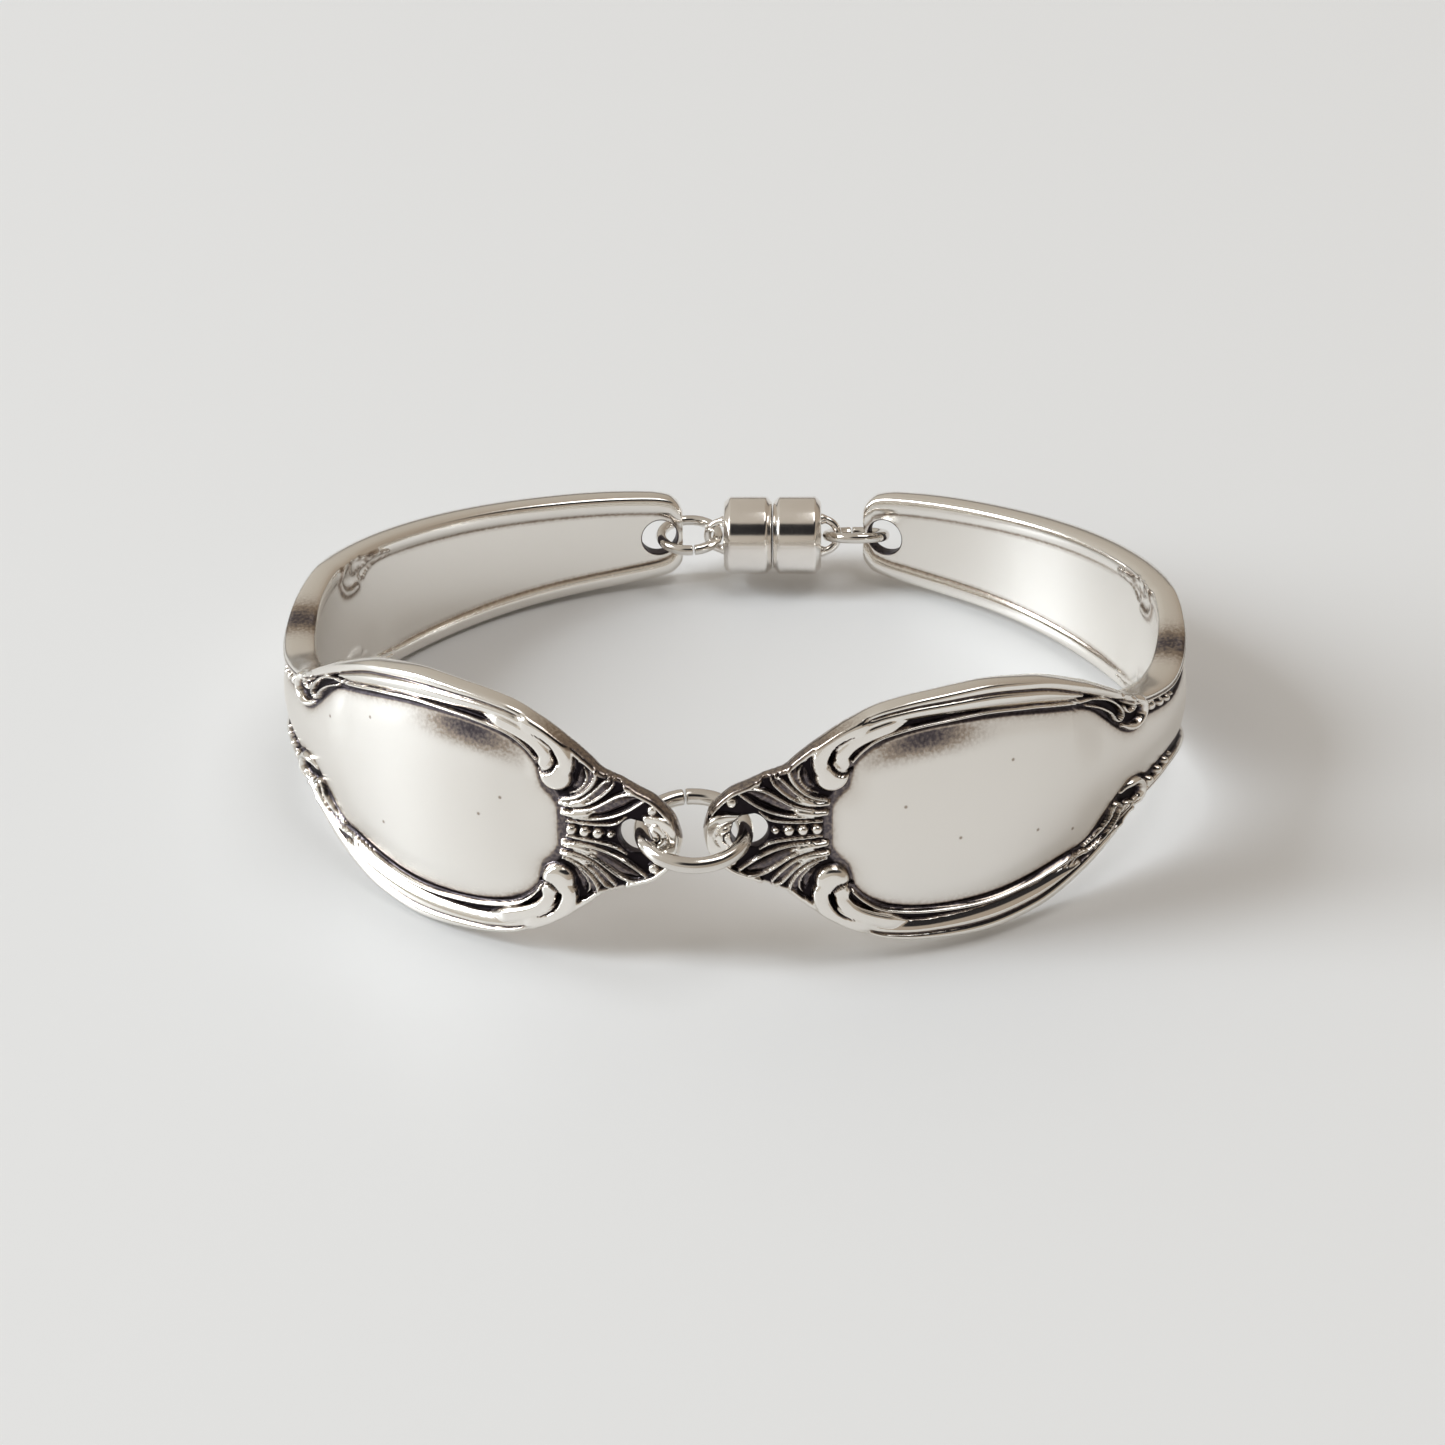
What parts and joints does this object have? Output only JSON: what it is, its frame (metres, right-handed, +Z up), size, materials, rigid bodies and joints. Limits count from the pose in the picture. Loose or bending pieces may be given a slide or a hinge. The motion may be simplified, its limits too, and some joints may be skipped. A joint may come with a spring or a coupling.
{
  "type": "spoon handle bracelet",
  "caption": "Bracelet of ornate silver spoon handles bent round the wrist, linked by a jump ring at the front and by small rings and a magnetic barrel clasp at the back.",
  "frame": {"origin": "middle of the loop's box, on the surface that it rests on", "axes": "+X across the wrist to the right, +Y from the front jump ring to the clasp at the back, +Z up out of the wrist opening"},
  "size_m": [0.0658, 0.0562, 0.0199],
  "materials": {
    "handle_silver": "polished silver with blackened recesses and satin panels",
    "ring_silver": "polished silver wire",
    "clasp_silver": "polished silver plate, lightly satin",
    "magnet": "nickel plated"
  },
  "bodies": {
    "half_left": {"handle_left": "handle_silver", "back_ring_left": "ring_silver", "clasp_half_left": "clasp_silver", "magnet_left": "magnet"},
    "front_ring": {"front_ring": "ring_silver"},
    "half_right": {"handle_right": "handle_silver", "back_ring_right": "ring_silver", "clasp_half_right": "clasp_silver", "magnet_right": "magnet"}
  },
  "joints": [
    {"name": "left_link", "type": "hinge", "parent": "half_left", "child": "front_ring", "pos_m": [-0.00655, -0.02429, 0.01064], "axis": [0, -0.1322, -0.9912], "range_deg": [0, 42]},
    {"name": "right_link", "type": "hinge", "parent": "front_ring", "child": "half_right", "pos_m": [0.00061, -0.02354, 0.01055], "axis": [0, -0.1322, -0.9912], "range_deg": [0, 16]}
  ]
}
